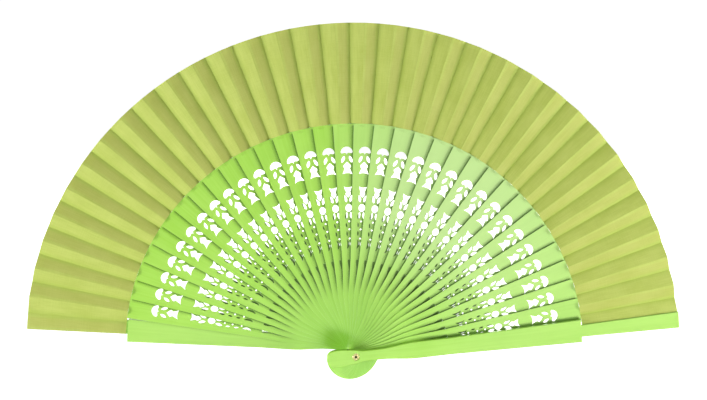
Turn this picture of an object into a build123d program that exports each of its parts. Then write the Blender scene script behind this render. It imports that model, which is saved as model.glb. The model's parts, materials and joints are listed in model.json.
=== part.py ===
"""Pierced wooden folding fan: two guards, thirty-two sticks, a pleated cloth leaf and a tubular rivet.

Frame: the open fan stands upright in the XZ plane with its front towards -Y. The rivet runs along Y
through the origin, which is the middle of the stack. Heights are measured along -Y, from the outer face
of the rear guard towards the front.
"""
from build123d import *
import os
from math import cos, radians, sin, sqrt, tan

os.makedirs("parts", exist_ok=True)

# ---- Opening ----
STICK_COUNT = 32
OPEN_ANGLE = 169.4              # between the two guards, fully open
FIRST_STEP = 6.4                # from the rear guard to the first stick
STICK_STEP = (OPEN_ANGLE - FIRST_STEP) / STICK_COUNT

# ---- Stack at the rivet ----
GUARD_THICKNESS = 3.0
STICK_THICKNESS = 0.65
STICK_GAP = 0.15
STICK_PITCH = STICK_THICKNESS + STICK_GAP
STACK = 2 * GUARD_THICKNESS + STICK_GAP + STICK_COUNT * STICK_PITCH

# ---- Outline shared by sticks and guards (half-widths, and distances from the rivet) ----
HEAD_END = -18.5
HEAD_WIDEST = -10.0
HEAD_HALF = 5.5
PIVOT_HALF = 4.0
PIVOT_LEVEL = 2.0
NECK_LEVEL = 15.0
NECK_HALF = 3.4
SHANK_START = 40.0
SHANK_HALF = 5.4
BLADE_START = 60.5
BLADE_END = 147.4
BLADE_HALF = 8.0

# ---- Slip: the thin end of a stick that carries the leaf ----
TONGUE_START = BLADE_END - 0.6  # a flat tongue joins the blade to the tilted slip
TONGUE_END = BLADE_END + 0.1
TONGUE_HALF = 1.5
SLIP_START = BLADE_END + 0.05   # clear of the neighbouring blades as the fan closes
SLIP_END = 206.0
SLIP_HALF = 2.8
SLIP_TIP_HALF = 2.4
SLIP_TIP_ROUND = 1.4
SLIP_THICKNESS = 0.4

# ---- Guard ----
GUARD_HALF = 7.4
GUARD_END = 146.5               # where the wide part stops and the thin strip goes on
STRIP_START = GUARD_END - 0.6
STRIP_THICKNESS = 1.5
FRONT_STRIP_HALF = 3.85
FRONT_TIP_HALF = 5.3
FRONT_TIP = 210.8               # stands a little beyond the leaf
REAR_STRIP_HALF = 2.5           # the rear strip hides behind the leaf
REAR_SHOULDER = 6.6             # and widens on its inner side, where it leaves the guard
REAR_TIP_HALF = 3.5
REAR_TIP = 209.0
GUARD_EDGE = 0.35               # chamfer round the outer face

# ---- Leaf ----
LEAF_INNER = TONGUE_END + 0.02
LEAF_OUTER = 210.5
LEAF_THICKNESS = 0.12
LEAF_CLEARANCE = 0.05
PLEAT_TILT = 15.0               # tilt of a glued panel about its stick
PANEL_HALF = STICK_STEP / 4     # a panel covers half of the angle between sticks
END_PANEL_HALF = 1.5            # the panels glued to the guards are a little wider
REAR_PANEL_TURN = -0.5          # the rear one is glued slightly askew

# ---- Rivet ----
RIVET_RADIUS = 1.5
RIVET_BORE = 0.75
FLARE_RADIUS = 1.9
FLARE_HEIGHT = 0.5
FLARE_ROUND = 0.3
WASHER_RADIUS = 2.3
WASHER_THICKNESS = 0.4
RUNNING_GAP = 0.06
SEAT_GAP = 0.02


def lean(index):
    """Angle of stick `index` from upright, positive to the left; 0 and STICK_COUNT + 1 are the guards."""
    if index == 0:
        return OPEN_ANGLE / 2
    return OPEN_ANGLE / 2 - FIRST_STEP - (index - 1) * STICK_STEP


def stick_base(index):
    """Height of the back face of stick `index`."""
    return GUARD_THICKNESS + STICK_GAP + (index - 1) * STICK_PITCH


def front_plane(height, angle=0.0, tilt=0.0):
    """Plane facing the front at a height, whose Y axis points along a stick that leans by `angle`.

    A tilt turns the plane about that stick, so that its left side comes forward.
    """
    front = Vector(0, -1, 0)
    across = Vector(cos(radians(angle)), 0, sin(radians(angle)))
    return Plane(
        origin=(0, STACK / 2 - height, 0),
        x_dir=across * cos(radians(tilt)) - front * sin(radians(tilt)),
        z_dir=across * sin(radians(tilt)) + front * cos(radians(tilt)),
    )


def mirrored_pair(x, y):
    return (-x, y), (x, y)


# ---- Shapes shared by the sketches ----
def outline(end_radius, end_half):
    """Closed outline of a stick or guard from its round head to its end, an arc about the rivet."""
    corner = sqrt(end_radius**2 - end_half**2)
    with BuildLine() as edge:
        for side in (-1, 1):
            neck = (side * NECK_HALF, NECK_LEVEL)
            shank = (side * SHANK_HALF, SHANK_START)
            Spline(
                (0, HEAD_END), (side * HEAD_HALF, HEAD_WIDEST), (side * PIVOT_HALF, PIVOT_LEVEL), neck,
                tangents=((side, 0), (0, 1)),
            )
            Spline(neck, shank, tangents=((0, 1), (0, 1)))
            Polyline(shank, (side * SHANK_HALF, BLADE_START), (side * end_half, corner))
        ThreePointArc((-end_half, corner), (0, end_radius), (end_half, corner))
    make_face(edge.edges())


def taper(half, start, tip_half, tip, shoulder=None):
    """Straight-sided strip from one distance to another; a shoulder widens its right side at the start."""
    left, right = mirrored_pair(half, start)
    if shoulder is not None:
        right = (shoulder, start)
    Polygon(left, right, *reversed(mirrored_pair(tip_half, tip)), align=None)


def petal(start, end, half_width):
    """Leaf-shaped hole between two points."""
    a = Vector(*start)
    b = Vector(*end)
    across = (b - a).normalized().rotate(Axis.Z, 90) * half_width
    middle = (a + b) / 2
    with BuildLine() as edge:
        ThreePointArc(a, middle + across, b)
        ThreePointArc(b, middle - across, a)
    make_face(edge.edges())


def petal_pair(start, end, half_width):
    for side in (-1, 1):
        petal((side * start[0], start[1]), (side * end[0], end[1]), half_width)


def crescent_pair(top, bottom, inner, outer):
    """Two crescents back to back, bulging towards the centre line."""
    for side in (-1, 1):
        ends = [(side * x, y) for x, y in (top, bottom)]
        with BuildLine() as edge:
            ThreePointArc(ends[0], (side * inner[0], inner[1]), ends[1])
            ThreePointArc(ends[1], (side * outer[0], outer[1]), ends[0])
        make_face(edge.edges())


def symmetric_hole(*curves):
    """Hole whose right side is given as smooth curves that meet at corners; the left side mirrors it."""
    with BuildLine() as edge:
        for side in (-1, 1):
            for points in curves:
                Spline(*[(side * x, y) for x, y in points])
    make_face(edge.edges())


# ---- Pierced pattern ----
with BuildSketch() as pattern:
    # Crown: a dome with a scalloped base, two tears and a fleuron
    with BuildLine():
        ThreePointArc((-3.8, 129.3), (0, 132.8), (3.8, 129.3))
        for corner in (-1, 1):
            Spline((corner * 3.8, 129.3), (corner * 2.9, 128.6), (corner * 1.7, 128.9), (0, 127.6))
    make_face()
    petal_pair((1.55, 127.0), (3.3, 122.6), 0.95)
    symmetric_hole(
        [(0, 123.2), (1.2, 121.9), (2.3, 120.4), (1.5, 119.2)],
        [(1.5, 119.2), (2.2, 117.2), (3.2, 115.2)],
        [(3.2, 115.2), (1.6, 115.9), (0, 116.05)],
    )
    # Middle: an inverted fleuron over two leaves and an oval
    symmetric_hole(
        [(0, 106.6), (1.3, 106.8), (2.5, 107.4)],
        [(2.5, 107.4), (1.8, 105.3), (1.15, 103.8)],
        [(1.15, 103.8), (1.6, 102.7), (0.9, 101.3), (0, 100.2)],
    )
    petal_pair((2.55, 101.9), (1.05, 97.2), 0.95)
    with Locations((0, 93.6)):
        Ellipse(2.05, 2.45)
    # Tail: leaves, a chain of dots and slits, crescents and a waisted slot
    petal_pair((1.15, 91.0), (2.0, 86.1), 0.9)
    with Locations((0, 84.9), (0, 79.8), (0, 73.8)):
        Circle(0.58)
    petal_pair((1.95, 84.2), (1.6, 81.0), 0.5)
    petal_pair((1.75, 78.8), (1.4, 75.4), 0.5)
    crescent_pair((2.05, 73.3), (2.0, 67.1), (0.35, 70.3), (1.65, 70.3))
    symmetric_hole(
        [(0, 60.1), (0.9, 60.1), (1.75, 60.1)],
        [(1.75, 60.1), (1.6, 56.8), (1.1, 53.7), (1.45, 50.4), (0.9, 47.8), (0, 47.0)],
    )

with BuildSketch() as stick_face:
    outline(BLADE_END, BLADE_HALF)
    add(pattern.sketch, mode=Mode.SUBTRACT)
    Circle(RIVET_RADIUS + RUNNING_GAP, mode=Mode.SUBTRACT)

with BuildSketch() as tongue_face:
    taper(TONGUE_HALF, TONGUE_START, TONGUE_HALF, TONGUE_END)

with BuildSketch() as slip_face:
    taper(SLIP_HALF, SLIP_START, SLIP_TIP_HALF, SLIP_END)
    fillet(slip_face.vertices().group_by(Axis.Y)[-1], SLIP_TIP_ROUND)

# ---- Sticks: a flat pierced blade and a thin slip set at the angle of the pleats ----
for index in range(1, STICK_COUNT + 1):
    blade_plane = front_plane(stick_base(index), lean(index))
    middle_plane = front_plane(stick_base(index) + STICK_THICKNESS / 2, lean(index))
    slip_plane = front_plane(stick_base(index) + STICK_THICKNESS / 2, lean(index), PLEAT_TILT)
    with BuildPart() as stick:
        with BuildSketch(blade_plane):
            add(stick_face.sketch)
        extrude(amount=STICK_THICKNESS)
        with BuildSketch(middle_plane):
            add(tongue_face.sketch)
        extrude(amount=SLIP_THICKNESS / 2, both=True)
        with BuildSketch(slip_plane):
            add(slip_face.sketch)
        extrude(amount=SLIP_THICKNESS / 2, both=True)
    stick.part.label = f"stick_{index:02d}"
    export_step(stick.part, f"parts/{stick.part.label}.step")

# ---- Guards: thick outer sticks, thinned on the inside where the leaf is glued ----
with BuildSketch() as guard_face:
    outline(GUARD_END, GUARD_HALF)
    Circle(RIVET_RADIUS + RUNNING_GAP, mode=Mode.SUBTRACT)

for label, outer_height, inward, angle, strip in (
    (
        "rear_guard", 0.0, 1, lean(0),
        (REAR_STRIP_HALF, STRIP_START, REAR_TIP_HALF, REAR_TIP, REAR_SHOULDER),
    ),
    (
        "front_guard", STACK, -1, lean(STICK_COUNT + 1),
        (FRONT_STRIP_HALF, STRIP_START, FRONT_TIP_HALF, FRONT_TIP),
    ),
):
    outer_plane = front_plane(outer_height, angle)
    with BuildPart() as guard:
        with BuildSketch(outer_plane):
            add(guard_face.sketch)
        extrude(amount=inward * GUARD_THICKNESS)
        with BuildSketch(outer_plane):
            taper(*strip)
        extrude(amount=inward * STRIP_THICKNESS)
        chamfer(guard.faces().sort_by(Axis.Y)[-1 if inward > 0 else 0].outer_wire().edges(), GUARD_EDGE)
        with BuildSketch(outer_plane):
            Circle(WASHER_RADIUS + RUNNING_GAP)
        extrude(amount=inward * (FLARE_HEIGHT + WASHER_THICKNESS + SEAT_GAP), mode=Mode.SUBTRACT)
    guard.part.label = label
    export_step(guard.part, f"parts/{label}.step")

# ---- Leaf: one pleated sheet, glued to every slip and to both guards ----
PLEAT_SLOPE = tan(radians(PLEAT_TILT)) * sin(radians(PANEL_HALF))
SLIP_TO_LEAF = SLIP_THICKNESS / 2 / cos(radians(PLEAT_TILT)) + LEAF_CLEARANCE + LEAF_THICKNESS / 2
REAR_LEAF_HEIGHT = STRIP_THICKNESS + LEAF_CLEARANCE + LEAF_THICKNESS / 2
FRONT_LEAF_HEIGHT = STACK - REAR_LEAF_HEIGHT


def fold_lines():
    """Every fold from left to right: its lean, its height at the centre and its rise per mm of radius."""
    yield lean(0) + REAR_PANEL_TURN + END_PANEL_HALF, REAR_LEAF_HEIGHT, 0.0
    yield lean(0) + REAR_PANEL_TURN - END_PANEL_HALF, REAR_LEAF_HEIGHT, 0.0
    for index in range(1, STICK_COUNT + 1):
        height = stick_base(index) + STICK_THICKNESS / 2 + SLIP_TO_LEAF
        yield lean(index) + PANEL_HALF, height, PLEAT_SLOPE
        yield lean(index) - PANEL_HALF, height, -PLEAT_SLOPE
    yield lean(STICK_COUNT + 1) + END_PANEL_HALF, FRONT_LEAF_HEIGHT, 0.0
    yield lean(STICK_COUNT + 1) - END_PANEL_HALF, FRONT_LEAF_HEIGHT, 0.0


with BuildPart() as leaf:
    for angle, height, slope in fold_lines():
        along = (-sin(radians(angle)), 0, cos(radians(angle)))
        across = (cos(radians(angle)), 0, sin(radians(angle)))
        inner = height - STACK / 2 + slope * LEAF_INNER
        outer = height - STACK / 2 + slope * LEAF_OUTER
        half = LEAF_THICKNESS / 2
        with BuildSketch(Plane((0, 0, 0), x_dir=along, z_dir=across)):
            Polygon(
                (LEAF_INNER, inner - half), (LEAF_OUTER, outer - half),
                (LEAF_OUTER, outer + half), (LEAF_INNER, inner + half), align=None,
            )
    loft(ruled=True)
leaf.part.label = "leaf"
export_step(leaf.part, "parts/leaf.step")

# ---- Rivet: a brass tube flared over a washer at each end, sunk flush with the guards ----
with BuildPart() as rivet:
    with BuildSketch(front_plane(0)):
        Circle(RIVET_RADIUS)
    extrude(amount=STACK)
    for height in (0, STACK - FLARE_HEIGHT):
        with BuildSketch(front_plane(height)):
            Circle(FLARE_RADIUS)
        extrude(amount=FLARE_HEIGHT)
    ends = rivet.edges().filter_by(GeomType.CIRCLE).sort_by(Axis.Y)
    fillet([ends[0], ends[-1]], FLARE_ROUND)
    with BuildSketch(front_plane(0)):
        Circle(RIVET_BORE)
    extrude(amount=STACK, mode=Mode.SUBTRACT)
rivet.part.label = "rivet"
export_step(rivet.part, "parts/rivet.step")

for label, height in (
    ("rear_washer", FLARE_HEIGHT + SEAT_GAP / 2),
    ("front_washer", STACK - FLARE_HEIGHT - SEAT_GAP / 2 - WASHER_THICKNESS),
):
    with BuildPart() as washer:
        with BuildSketch(front_plane(height)):
            Circle(WASHER_RADIUS)
            Circle(RIVET_RADIUS + RUNNING_GAP / 2, mode=Mode.SUBTRACT)
        extrude(amount=WASHER_THICKNESS)
    washer.part.label = label
    export_step(washer.part, f"parts/{label}.step")
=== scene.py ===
"""Looks of the pierced wooden folding fan: painted sticks, brass rivet and pleated cotton leaf.

The leaf is built as flat panels between its folds. A glued panel rides on its stick or guard, and a free
panel lies between two of them.
"""
import bpy
import json
from math import asin, cos, pi, radians, sin, tan
from mathutils import Matrix, Vector


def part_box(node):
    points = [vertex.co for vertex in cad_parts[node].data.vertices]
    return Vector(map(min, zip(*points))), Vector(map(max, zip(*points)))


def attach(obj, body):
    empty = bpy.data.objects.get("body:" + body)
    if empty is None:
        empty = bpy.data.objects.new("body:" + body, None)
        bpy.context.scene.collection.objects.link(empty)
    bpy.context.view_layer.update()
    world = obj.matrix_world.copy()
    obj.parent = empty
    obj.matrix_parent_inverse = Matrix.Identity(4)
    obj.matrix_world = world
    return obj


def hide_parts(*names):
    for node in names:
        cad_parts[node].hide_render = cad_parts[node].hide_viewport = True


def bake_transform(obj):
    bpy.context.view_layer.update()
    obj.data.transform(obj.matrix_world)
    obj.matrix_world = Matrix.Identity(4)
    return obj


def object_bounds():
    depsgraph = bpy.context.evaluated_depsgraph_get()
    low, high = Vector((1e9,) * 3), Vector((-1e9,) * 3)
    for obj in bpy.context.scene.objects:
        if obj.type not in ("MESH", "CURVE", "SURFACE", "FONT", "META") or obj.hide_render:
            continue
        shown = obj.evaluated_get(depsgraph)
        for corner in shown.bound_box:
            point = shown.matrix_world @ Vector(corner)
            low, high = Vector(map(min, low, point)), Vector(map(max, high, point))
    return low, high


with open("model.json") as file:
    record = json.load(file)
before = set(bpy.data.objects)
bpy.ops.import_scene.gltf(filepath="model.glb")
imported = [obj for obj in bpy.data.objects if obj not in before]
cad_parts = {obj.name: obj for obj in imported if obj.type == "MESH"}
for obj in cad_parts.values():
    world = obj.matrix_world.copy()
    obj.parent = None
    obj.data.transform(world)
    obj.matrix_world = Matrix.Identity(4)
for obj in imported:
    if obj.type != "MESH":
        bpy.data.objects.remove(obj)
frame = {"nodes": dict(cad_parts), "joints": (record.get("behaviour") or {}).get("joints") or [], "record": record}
cad_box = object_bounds()

MM = 0.001

# ---- Fan layout, from the frame ----
LEADER = next(joint for joint in frame["joints"] if joint["name"] == "fan_fold")
OPEN_ANGLE = LEADER["range_deg"][1]
TRAVEL = {"base": 0.0, "front_guard": OPEN_ANGLE}
for coupling in frame["record"]["behaviour"]["couplings"]:
    TRAVEL[coupling["joint"].removesuffix("_turn")] = coupling["ratio"] * OPEN_ANGLE
STICKS = sorted(name for name in TRAVEL if name.startswith("stick_"))
BODIES = ["base", *STICKS, "front_guard"]
STICK_STEP = (TRAVEL[STICKS[-1]] - TRAVEL[STICKS[0]]) / (len(STICKS) - 1)

# ---- Leaf ----
LEAF_INNER = 147.43 * MM        # just beyond the painted blades
LEAF_OUTER = 210.5 * MM
CLOTH_THICKNESS = 0.12 * MM
SLIP_TO_LEAF = 0.317 * MM       # from a slip's middle to the middle of the cloth glued on it
PLEAT_TILT = 15.0               # degrees by which a slip and its panel turn about their own length
PANEL_HALF = STICK_STEP / 4     # a glued panel's half angle about the rivet, in degrees
END_PANEL_HALF = 1.5            # the same for the two panels glued to the guards
REAR_PANEL_TURN = -0.5          # degrees by which the rear panel sits to the right of its guard
PANEL_ROWS = 8
SUBDIVISIONS = 3
GLUED_WAVE = 0.34 * MM          # most that a panel bellies out
FREE_WAVE = 0.40 * MM
WAVE_LENGTH = 16 * MM
WAVE_SEED_STEP = 1.7            # from one glued panel to the next, so that no two are alike
FREE_WAVE_SEED = 0.8
CRISP_ANGLE = 40.0              # edges that turn by more degrees than this are crisp

# ---- Wood ----
BLADE_END = 147.4 * MM          # the paint stops here, and the slips are bare
SLIP_HALF = 2.7 * MM
STICK_SEED_STEP = 3.1
REAR_GUARD_SEED = 201.0
FRONT_GUARD_SEED = 305.0
GRAIN = (900, 900, 28)          # noise frequencies per metre, across the stick twice and along it
PORES = (5200, 5200, 190)
CLOUD = (55, 55, 30)
GRAIN_DEPTH = 0.05 * MM

# Beyond the shanks the paint is paler. On the sticks this is painted sheen, most on those that lean to the right
# by 16 to 40 degrees; on the guards it is a paler tone.
PALER_AND_SHEEN_START = 35 * MM
PALER_AND_SHEEN_END = 100 * MM
SHEEN_LEANS = (6.0, -16.0)
SHEEN_BACK_LEANS = (-40.0, -100.0)
SHEEN_MOST = 0.85
# share by which the guards' paint is paler towards the outer end
GUARD_PALENESS = 0.20

# Shade in the recesses between the sticks, by the share of open sky that a point sees.
RECESS_REACH = 2.6 * MM
RECESS_SKY = (0.80, 0.99)       # full shade and none
STICK_RECESS = 0.85
GUARD_RECESS = 0.25
SHANK_RECESS = 0.08             # share of the shade on the shanks, which lie close together
SHANK_END = 36 * MM
BLADE_START = 50 * MM
TIP_RECESS = 0.05               # share of the shade on the end face of a blade
TIP_START = BLADE_END - 1.8 * MM
TIP_END = BLADE_END - 0.6 * MM

WORN_RADIUS = 0.22 * MM         # edges are worn round by this much
EDGE_WEAR_AND_HIGHLIGHT_FACING = (0.995, 0.86)     # cosine between rounded and flat normals, where the pale edge, worn paint and painted highlight, begins and is full

# ---- Cotton ----
THREAD_PITCH = 0.46 * MM        # two threads, one over and one under
YARNS = (1500, 70, 1)           # noise frequencies per metre, across a panel and along it
RUNGS = (70, 1500, 1)
CLOTH_CLOUD = (90, 45, 1)
WEAVE_DEPTH = 0.08 * MM
SLIP_BLUR = (0.9 * MM, -0.5 * MM)   # beyond a slip's edge, where its shade on the cloth begins and is full
SLIP_SHADE = 0.18
VALLEY_SHADE = 0.45
LIGHT_THROUGH = 0.30

# ---- Brass ----
PATCHES = (700, 700, 700)
TURNING_MARKS = (9000, 700, 9000)
MARK_DEPTH = 0.02 * MM

# ---- Floor ----
FLOOR_GAP = 1.5 * MM
FLOOR_SIZE = 60.0               # metres
FLOOR_SPECKLE = (30, 30, 30)

# ---- View, with angles in degrees ----
VIEW_AZIMUTH = -4.79            # from the left of the fan's front
VIEW_ELEVATION = 8.16
VIEW_ROLL = -0.155
VIEW_DISTANCE = 797.8 * MM
VIEW_AIM_RISE = 2.6 * MM        # aim above the middle of the fan
LENS_MM = 63.8
SENSOR_MM = 36.0

# ---- Lights: place from the rivet in metres, side in metres, power in watts ----
LIGHTS = {
    "left": ((-1.157, -0.30, -0.01), 0.35, 16.4),
    "right": ((0.989, -0.25, 0.107), 0.26, 11.6),
    "gloss": ((0.40, -1.15, -0.11), 0.35, 2.3),
    "low": ((0.02, -0.55, -0.25), 0.20, 1.3),
    "back": ((0.30, 1.20, 0.45), 0.70, 11.5),
}


# ---- Helpers ----
def node(tree, kind, inputs=None, **settings):
    """Adds a node. `inputs` maps its sockets to values or to the sockets that drive them."""
    made = tree.nodes.new(kind)
    for key, value in settings.items():
        setattr(made, key, value)
    for key, value in (inputs or {}).items():
        if isinstance(value, bpy.types.NodeSocket):
            tree.links.new(value, made.inputs[key])
        else:
            made.inputs[key].default_value = value
    return made


def maths(tree, operation, *values):
    return node(tree, "ShaderNodeMath", dict(enumerate(values)), operation=operation).outputs[0]


def weighed(tree, a, share_a, b, share_b):
    """Sum of two values, each times its share."""
    return maths(tree, "ADD", maths(tree, "MULTIPLY", a, share_a), maths(tree, "MULTIPLY", b, share_b))


def mixed(tree, factor, a, b):
    """Colour a changed towards colour b."""
    return node(tree, "ShaderNodeMix", {0: factor, 6: a, 7: b}, data_type="RGBA").outputs[2]


def ranged(tree, value, low, high, to_low=0.0, to_high=1.0, smooth=True):
    """Value mapped from one range to another and clamped there."""
    return node(
        tree, "ShaderNodeMapRange", {0: value, 1: low, 2: high, 3: to_low, 4: to_high},
        interpolation_type="SMOOTHSTEP" if smooth else "LINEAR",
    ).outputs[0]


def noise(tree, vector, scales, detail, roughness=0.5, seed=0.0):
    """Noise whose grain is stretched: `scales` holds its frequency per metre along each axis."""
    moved = {"Vector": vector, "Scale": scales, "Location": (seed, seed, seed)}
    placed = node(tree, "ShaderNodeMapping", moved)
    return node(
        tree, "ShaderNodeTexNoise",
        {"Vector": placed.outputs[0], "Scale": 1.0, "Detail": detail, "Roughness": roughness},
    ).outputs[0]


def bumped(tree, height, distance, strength, normal=None):
    """Normal tilted by a height, on top of another normal where one is given."""
    inputs = {"Height": height, "Distance": distance, "Strength": strength}
    if normal is not None:
        inputs["Normal"] = normal
    return node(tree, "ShaderNodeBump", inputs).outputs[0]


def new_material(name):
    material = bpy.data.materials.new(name)
    material.use_nodes = True
    tree = material.node_tree
    tree.nodes.clear()
    return material, tree


def surface(tree, shader):
    node(tree, "ShaderNodeOutputMaterial", {"Surface": shader})


def new_object(name, data):
    made = bpy.data.objects.new(name, data)
    bpy.context.scene.collection.objects.link(made)
    return made


# ---- Materials ----
PAINT_DEEP = (0.346, 0.668, 0.066, 1)
PAINT_PALE = (0.413, 0.728, 0.104, 1)
# pale colour: painted sheen on the outer sticks, and a paler tone on the guards
PAINT_PALER_AND_SHEEN = (0.522, 0.745, 0.288, 1)
# pale edge colour: worn paint and painted highlight
PAINT_EDGE_WEAR_AND_HIGHLIGHT = (0.600, 0.880, 0.330, 1)
# painted shade in the recesses between the sticks
PAINT_RECESS_SHADE = (0.070, 0.190, 0.003, 1)
BARE_DARK = (0.46, 0.33, 0.18, 1)
BARE_PALE = (0.70, 0.55, 0.34, 1)
CLOTH_DEEP = (0.545, 0.635, 0.122, 1)
CLOTH_PALE = (0.635, 0.715, 0.180, 1)
CLOTH_TAN = (0.560, 0.490, 0.100, 1)
# painted shade in the valley folds
CLOTH_VALLEY_SHADE = (0.450, 0.590, 0.075, 1)
BRASS_DARK = (0.82, 0.68, 0.28, 1)
BRASS_PALE = (0.98, 0.89, 0.50, 1)
FLOOR_GREY = (0.86, 0.86, 0.86, 1)
FLOOR_WHITE = (0.90, 0.90, 0.90, 1)


def recess_shade(tree, out, most):
    """Shade between neighbouring sticks, up to `most`, at a distance `out` from the rivet."""
    open_sky = node(tree, "ShaderNodeAmbientOcclusion", {"Distance": RECESS_REACH}, samples=8).outputs["AO"]
    shade = ranged(tree, open_sky, *RECESS_SKY, 1.0, 0.0, smooth=False)
    on_blade = ranged(tree, out, SHANK_END, BLADE_START, SHANK_RECESS * most, most)
    before_tip = ranged(tree, out, TIP_START, TIP_END, 1.0, TIP_RECESS)
    return maths(tree, "MULTIPLY", maths(tree, "MULTIPLY", shade, on_blade), before_tip)


def painted_wood(name, lean, seed, bare_slip, paler_and_sheen, recess):
    """Satin paint over wood whose grain runs along a stick that leans by `lean` degrees.

    The outer part is paler by a given share, painted sheen on the sticks and a paler tone on the guards; the
    recesses carry painted shade by the share `recess`.
    """
    material, tree = new_material(name)
    place = node(tree, "ShaderNodeTexCoord").outputs["Object"]
    along_z = node(
        tree, "ShaderNodeVectorRotate", {"Vector": place, "Angle": radians(lean)}, rotation_type="Y_AXIS"
    ).outputs[0]
    out = node(tree, "ShaderNodeSeparateXYZ", {0: along_z}).outputs["Z"]
    grain = noise(tree, along_z, GRAIN, detail=4.0, roughness=0.6, seed=seed)
    pores = noise(tree, along_z, PORES, detail=2.0, seed=seed)
    cloud = noise(tree, along_z, CLOUD, detail=2.0, seed=seed)

    tone = weighed(tree, grain, 0.55, cloud, 0.45)
    colour = mixed(tree, ranged(tree, tone, 0.30, 0.70), PAINT_DEEP, PAINT_PALE)
    # paler outward: painted sheen on the sticks, a paler tone on the guards
    colour = mixed(tree, ranged(tree, out, PALER_AND_SHEEN_START, PALER_AND_SHEEN_END, 0.0, paler_and_sheen), colour, PAINT_PALER_AND_SHEEN)
    # painted shade in the recesses between the sticks
    colour = mixed(tree, recess_shade(tree, out, recess), colour, PAINT_RECESS_SHADE)

    rounded = node(tree, "ShaderNodeBevel", {"Radius": WORN_RADIUS}, samples=4).outputs[0]
    flat = node(tree, "ShaderNodeNewGeometry").outputs["Normal"]
    both = node(tree, "ShaderNodeVectorMath", {0: rounded, 1: flat}, operation="DOT_PRODUCT")
    edge = ranged(tree, both.outputs["Value"], *EDGE_WEAR_AND_HIGHLIGHT_FACING)
    # pale edges: partly worn paint, partly painted highlight
    wear_and_highlight = maths(tree, "MULTIPLY", edge, ranged(tree, cloud, 0.3, 0.7, 0.35, 0.9))
    colour = mixed(tree, wear_and_highlight, colour, PAINT_EDGE_WEAR_AND_HIGHLIGHT)
    roughness = ranged(tree, grain, 0.3, 0.7, 0.32, 0.44)
    relief = weighed(tree, grain, 0.7, pores, 0.3)

    if bare_slip:
        frayed = maths(tree, "ADD", out, maths(tree, "MULTIPLY", pores, 0.5 * MM))
        bare = ranged(tree, frayed, BLADE_END + 0.2 * MM, BLADE_END + 0.7 * MM)
        streaks = mixed(tree, ranged(tree, grain, 0.3, 0.7), BARE_DARK, BARE_PALE)
        streaks = mixed(tree, ranged(tree, pores, 0.62, 0.75, 0.0, 0.5), streaks, BARE_DARK)
        colour = mixed(tree, bare, colour, streaks)
        roughness = maths(tree, "ADD", roughness, maths(tree, "MULTIPLY", bare, 0.25))

    shader = node(tree, "ShaderNodeBsdfPrincipled", {
        "Base Color": colour,
        "Roughness": roughness,
        "Normal": bumped(tree, relief, GRAIN_DEPTH, 0.6, rounded),
        "Specular IOR Level": 0.45,
    })
    surface(tree, shader.outputs[0])
    return material


def cotton(name, slip_shows):
    """Thin plain-weave cotton, with painted shade towards its valley fold.

    The map "weave" runs across a panel and along it, in metres. The map "share" runs across it from -1 at
    its left fold to 1 at its right one. The valley fold is a glued panel's right and a free panel's left.
    """
    material, tree = new_material(name)
    place = node(tree, "ShaderNodeUVMap", uv_map="weave").outputs[0]
    part = node(tree, "ShaderNodeSeparateXYZ", {0: place})
    across, along = part.outputs["X"], part.outputs["Y"]
    share = node(tree, "ShaderNodeUVMap", uv_map="share").outputs[0]
    sideways = node(tree, "ShaderNodeSeparateXYZ", {0: share}).outputs["X"]
    thread = 2 * pi / THREAD_PITCH
    warp = maths(tree, "SINE", maths(tree, "MULTIPLY", across, thread))
    weft = maths(tree, "SINE", maths(tree, "MULTIPLY", along, thread))
    weave = maths(tree, "MULTIPLY", warp, weft)
    yarns = noise(tree, place, YARNS, detail=3.0, roughness=0.6)
    rungs = noise(tree, place, RUNGS, detail=3.0, roughness=0.6, seed=7.0)
    cloud = noise(tree, place, CLOTH_CLOUD, detail=3.0, roughness=0.55, seed=3.0)

    slub = weighed(tree, yarns, 0.6, rungs, 0.4)
    tone = weighed(tree, slub, 0.6, cloud, 0.4)
    tone = maths(tree, "ADD", tone, maths(tree, "MULTIPLY", weave, 0.03))
    colour = mixed(tree, ranged(tree, tone, 0.36, 0.64), CLOTH_DEEP, CLOTH_PALE)
    if slip_shows:
        beside = maths(tree, "ABSOLUTE", across)
        shade_start, shade_full = (SLIP_HALF + blur for blur in SLIP_BLUR)
        behind = ranged(tree, beside, shade_start, shade_full, 0.0, SLIP_SHADE)
        colour = mixed(tree, behind, colour, CLOTH_TAN)
    towards_valley = maths(tree, "MULTIPLY", sideways, 1.0 if slip_shows else -1.0)
    # painted shade towards the valley fold
    colour = mixed(tree, ranged(tree, towards_valley, 0.25, 1.0, 0.0, VALLEY_SHADE), colour, CLOTH_VALLEY_SHADE)

    relief = maths(tree, "ADD", maths(tree, "MULTIPLY", weave, 0.25), slub)
    normal = bumped(tree, relief, WEAVE_DEPTH, 0.55)
    front = node(tree, "ShaderNodeBsdfPrincipled", {
        "Base Color": colour,
        "Roughness": 0.68,
        "Specular IOR Level": 0.5,
        "Sheen Weight": 0.15,
        "Sheen Roughness": 0.5,
        "Normal": normal,
    })
    through = node(tree, "ShaderNodeBsdfTranslucent", {"Color": colour, "Normal": normal})
    parts = {0: LIGHT_THROUGH, 1: front.outputs[0], 2: through.outputs[0]}
    shader = node(tree, "ShaderNodeMixShader", parts)
    surface(tree, shader.outputs[0])
    return material


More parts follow.
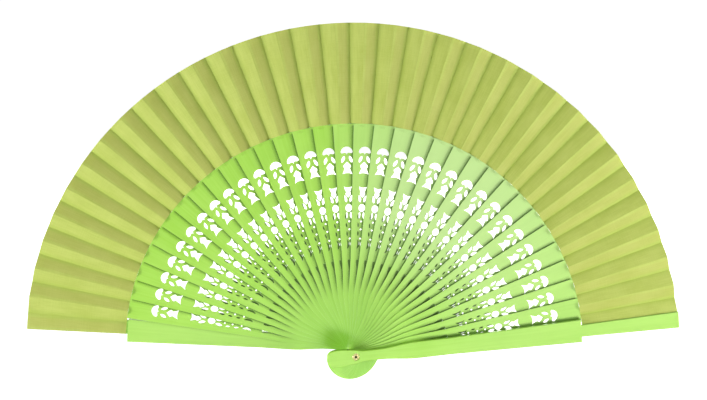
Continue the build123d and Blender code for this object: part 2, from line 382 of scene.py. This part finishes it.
def brass(name):
    """Pressed brass with fine turning marks and dull patches."""
    material, tree = new_material(name)
    place = node(tree, "ShaderNodeTexCoord").outputs["Object"]
    patches = noise(tree, place, PATCHES, detail=3.0)
    marks = noise(tree, place, TURNING_MARKS, detail=2.0)
    colour = mixed(tree, ranged(tree, patches, 0.35, 0.65), BRASS_PALE, BRASS_DARK)
    shader = node(tree, "ShaderNodeBsdfPrincipled", {
        "Base Color": colour,
        "Metallic": 1.0,
        "Roughness": ranged(tree, patches, 0.3, 0.7, 0.22, 0.40),
        "Normal": bumped(tree, marks, MARK_DEPTH, 0.4),
    })
    surface(tree, shader.outputs[0])
    return material


def floor_white(name):
    """Matt pale floor that sends light back to the fan, and that the camera sees as plain white."""
    material, tree = new_material(name)
    place = node(tree, "ShaderNodeTexCoord").outputs["Object"]
    speckle = noise(tree, place, FLOOR_SPECKLE, detail=2.0)
    colour = mixed(tree, speckle, FLOOR_GREY, FLOOR_WHITE)
    matt = node(tree, "ShaderNodeBsdfDiffuse", {"Color": colour})
    seen = node(tree, "ShaderNodeLightPath").outputs["Is Camera Ray"]
    glow = node(tree, "ShaderNodeEmission", {"Strength": seen})
    shader = node(tree, "ShaderNodeAddShader", {0: matt.outputs[0], 1: glow.outputs[0]})
    surface(tree, shader.outputs[0])
    return material


def paint_over(name, material):
    """Gives a CAD node its finish."""
    slots = frame["nodes"][name].data.materials
    slots.clear()
    slots.append(material)


# ---- Leaf panels ----
def middle_y(name):
    """Middle of a node's depth, which for a stick is also its slip's."""
    low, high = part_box(name)
    return (low.y + high.y) / 2


def leans(body):
    """Degrees from upright, positive to the left."""
    return OPEN_ANGLE / 2 - TRAVEL[body]


PLEAT_SLOPE = tan(radians(PLEAT_TILT)) * sin(radians(PANEL_HALF))
LEAF_LOW, LEAF_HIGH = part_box("leaf")


def folds(body):
    """Left and right fold of the panel glued to a body: lean, Y at the centre, and Y per metre outward."""
    lean = leans(body)
    if body == "base":
        y = LEAF_HIGH.y - CLOTH_THICKNESS / 2
        half, slope = END_PANEL_HALF, 0.0
        lean += REAR_PANEL_TURN
    elif body == "front_guard":
        y = LEAF_LOW.y + CLOTH_THICKNESS / 2
        half, slope = END_PANEL_HALF, 0.0
    else:
        y = middle_y(body) - SLIP_TO_LEAF
        half, slope = PANEL_HALF, PLEAT_SLOPE
    return (lean + half, y, -slope), (lean - half, y, slope)


def on_fold(fold, radius):
    angle, y, slope = fold
    return Vector((-sin(radians(angle)) * radius, y + slope * radius, cos(radians(angle)) * radius))


def wave_modifier():
    """Geometry nodes that subdivide a panel and belly it out softly, leaving its folds where they are."""
    tree = bpy.data.node_groups.new("panel_wave", "GeometryNodeTree")
    tree.interface.new_socket("Geometry", in_out="INPUT", socket_type="NodeSocketGeometry")
    tree.interface.new_socket("Amount", in_out="INPUT", socket_type="NodeSocketFloat")
    tree.interface.new_socket("Geometry", in_out="OUTPUT", socket_type="NodeSocketGeometry")
    given = node(tree, "NodeGroupInput")
    fine = node(tree, "GeometryNodeSubdivideMesh", {"Mesh": given.outputs[0], "Level": SUBDIVISIONS})
    share = node(tree, "GeometryNodeInputNamedAttribute", {"Name": "share_point"}, data_type="FLOAT_VECTOR")
    parts = node(tree, "ShaderNodeSeparateXYZ", {0: share.outputs[0]})
    square = maths(tree, "MULTIPLY", parts.outputs[0], parts.outputs[0])
    window = maths(tree, "SUBTRACT", 1.0, square)
    where = node(tree, "ShaderNodeCombineXYZ", {0: parts.outputs[1], 1: parts.outputs[2]})
    waves = node(tree, "ShaderNodeTexNoise", {
        "Vector": where.outputs[0], "Scale": 1 / WAVE_LENGTH, "Detail": 1.0,
    }).outputs[0]
    height = maths(tree, "MULTIPLY", window, maths(tree, "MULTIPLY", waves, given.outputs[1]))
    normal = node(tree, "GeometryNodeInputNormal").outputs[0]
    offset = node(tree, "ShaderNodeVectorMath", {0: normal, "Scale": height}, operation="SCALE")
    wavy = {"Geometry": fine.outputs[0], "Offset": offset.outputs[0]}
    moved = node(tree, "GeometryNodeSetPosition", wavy)
    smooth = node(tree, "GeometryNodeSetShadeSmooth", {"Geometry": moved.outputs[0]})
    node(tree, "NodeGroupOutput", {0: smooth.outputs[0]})
    return tree


def panel(name, left, right, seed, material, wave):
    """Panel of cloth between two folds, with a row of points on each. Modifiers wave and thicken it."""
    points, places, shares = [], [], []
    for row in range(PANEL_ROWS + 1):
        radius = LEAF_INNER + (LEAF_OUTER - LEAF_INNER) * row / PANEL_ROWS
        a, b = on_fold(left, radius), on_fold(right, radius)
        half = (b - a).length / 2
        points += [a, b]
        places += [(-half, radius + seed), (half, radius + seed)]
        shares += [(-1.0, radius, seed), (1.0, radius, seed)]
    faces = [(2 * row, 2 * row + 1, 2 * row + 3, 2 * row + 2) for row in range(PANEL_ROWS)]
    mesh = bpy.data.meshes.new(name)
    mesh.from_pydata(points, [], faces)
    weave = mesh.uv_layers.new(name="weave")
    share = mesh.uv_layers.new(name="share")
    for loop in mesh.loops:
        weave.data[loop.index].uv = places[loop.vertex_index]
        share.data[loop.index].uv = shares[loop.vertex_index][:2]
    attribute = mesh.attributes.new("share_point", "FLOAT_VECTOR", "POINT")
    for index, value in enumerate(shares):
        attribute.data[index].vector = value
    mesh.materials.append(material)
    made = new_object(name, mesh)

    belly = made.modifiers.new("wave", "NODES")
    belly.node_group = WAVE
    belly[next(item.identifier for item in WAVE.interface.items_tree if item.name == "Amount")] = wave
    thick = made.modifiers.new("thickness", "SOLIDIFY")
    thick.thickness = CLOTH_THICKNESS
    thick.offset = 0.0
    crisp = made.modifiers.new("crisp_edges", "EDGE_SPLIT")
    crisp.split_angle = radians(CRISP_ANGLE)
    return made


def follow_both(made):
    """Bakes a free panel's placement into its mesh.
    """
    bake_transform(made)


WAVE = wave_modifier()
GLUED = cotton("cotton_glued", True)
FREE = cotton("cotton_free", False)

for index, body in enumerate(BODIES):
    left, right = folds(body)
    seed = index * WAVE_SEED_STEP
    glued = panel(f"leaf_glued_{index:02d}", left, right, seed, GLUED, GLUED_WAVE)
    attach(glued, body)
    if body == "base":
        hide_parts("leaf")
    if index > 0:
        before = BODIES[index - 1]
        start_fold = folds(before)[1]
        free = panel(f"leaf_free_{index:02d}", start_fold, left, seed + FREE_WAVE_SEED, FREE, FREE_WAVE)
        follow_both(free)


# ---- Finishes of the CAD nodes ----
def share_passed(lean, start, end):
    """Share of the way from one lean to another, rightward, at which a stick stands."""
    return min(max((start - lean) / (start - end), 0.0), 1.0)


def painted_sheen(lean):
    """Share of painted sheen on a stick: most on the upper right."""
    return SHEEN_MOST * share_passed(lean, *SHEEN_LEANS) * (1 - share_passed(lean, *SHEEN_BACK_LEANS))


for index, stick in enumerate(STICKS):
    lean = leans(stick)
    seed = STICK_SEED_STEP * index
    paint_over(stick, painted_wood(f"paint_{stick}", lean, seed, True, painted_sheen(lean), STICK_RECESS))
GUARDS = (("rear_guard", "base", REAR_GUARD_SEED), ("front_guard", "front_guard", FRONT_GUARD_SEED))
for guard, body, seed in GUARDS:
    paint_over(guard, painted_wood(f"paint_{guard}", leans(body), seed, False, GUARD_PALENESS, GUARD_RECESS))
BRASS = brass("rivet_brass")
for metal in ("rivet", "rear_washer", "front_washer"):
    paint_over(metal, BRASS)

# ---- Stage ----
CENTRE = (cad_box[0] + cad_box[1]) / 2


def floor():
    """Wide floor just under the fan. It casts no shadow, so that a light set below it reaches the fan."""
    mesh = bpy.data.meshes.new("floor")
    half, z = FLOOR_SIZE / 2, cad_box[0].z - FLOOR_GAP
    corners = [(-half, -half, z), (half, -half, z), (half, half, z), (-half, half, z)]
    mesh.from_pydata(corners, [], [(0, 1, 2, 3)])
    mesh.materials.append(floor_white("floor_white"))
    made = new_object("floor", mesh)
    made.visible_shadow = False


def area_light(name, place, side, power):
    """Square soft light that faces the middle of the fan."""
    data = bpy.data.lights.new(name, "AREA")
    data.size = side
    data.energy = power
    made = new_object(name, data)
    made.location = place
    made.rotation_euler = (Vector(place) - CENTRE).to_track_quat("Z", "Y").to_euler()


def world_light(seen, mirrored, ambient):
    """White all round: its brightness to the camera, to glossy reflections and to everything else."""
    world = bpy.data.worlds.new("world")
    bpy.context.scene.world = world
    world.use_nodes = True
    tree = world.node_tree
    tree.nodes.clear()
    path = node(tree, "ShaderNodeLightPath").outputs
    strength = ranged(tree, path["Is Glossy Ray"], 0.0, 1.0, ambient, mirrored, smooth=False)
    strength = ranged(tree, path["Is Camera Ray"], 0.0, 1.0, strength, seen, smooth=False)
    glow = node(tree, "ShaderNodeBackground", {"Color": (1, 1, 1, 1), "Strength": strength})
    node(tree, "ShaderNodeOutputWorld", {"Surface": glow.outputs[0]})


def camera():
    data = bpy.data.cameras.new("camera")
    data.lens = LENS_MM
    data.sensor_width = SENSOR_MM
    made = new_object("camera", data)
    azimuth, elevation = radians(VIEW_AZIMUTH), radians(VIEW_ELEVATION)
    back = Vector((sin(azimuth) * cos(elevation), -cos(azimuth) * cos(elevation), sin(elevation)))
    aim = Vector((0, 0, CENTRE.z + VIEW_AIM_RISE))
    facing = back.to_track_quat("Z", "Y").to_matrix().to_4x4()
    roll = Matrix.Rotation(radians(VIEW_ROLL), 4, "Z")
    made.matrix_world = Matrix.Translation(aim + back * VIEW_DISTANCE) @ facing @ roll
    bpy.context.scene.camera = made


floor()
world_light(seen=1.05, mirrored=0.65, ambient=0.05)
for light, (place, side, power) in LIGHTS.items():
    area_light(light, place, side, power)
camera()
bpy.context.scene.view_settings.view_transform = "Standard"
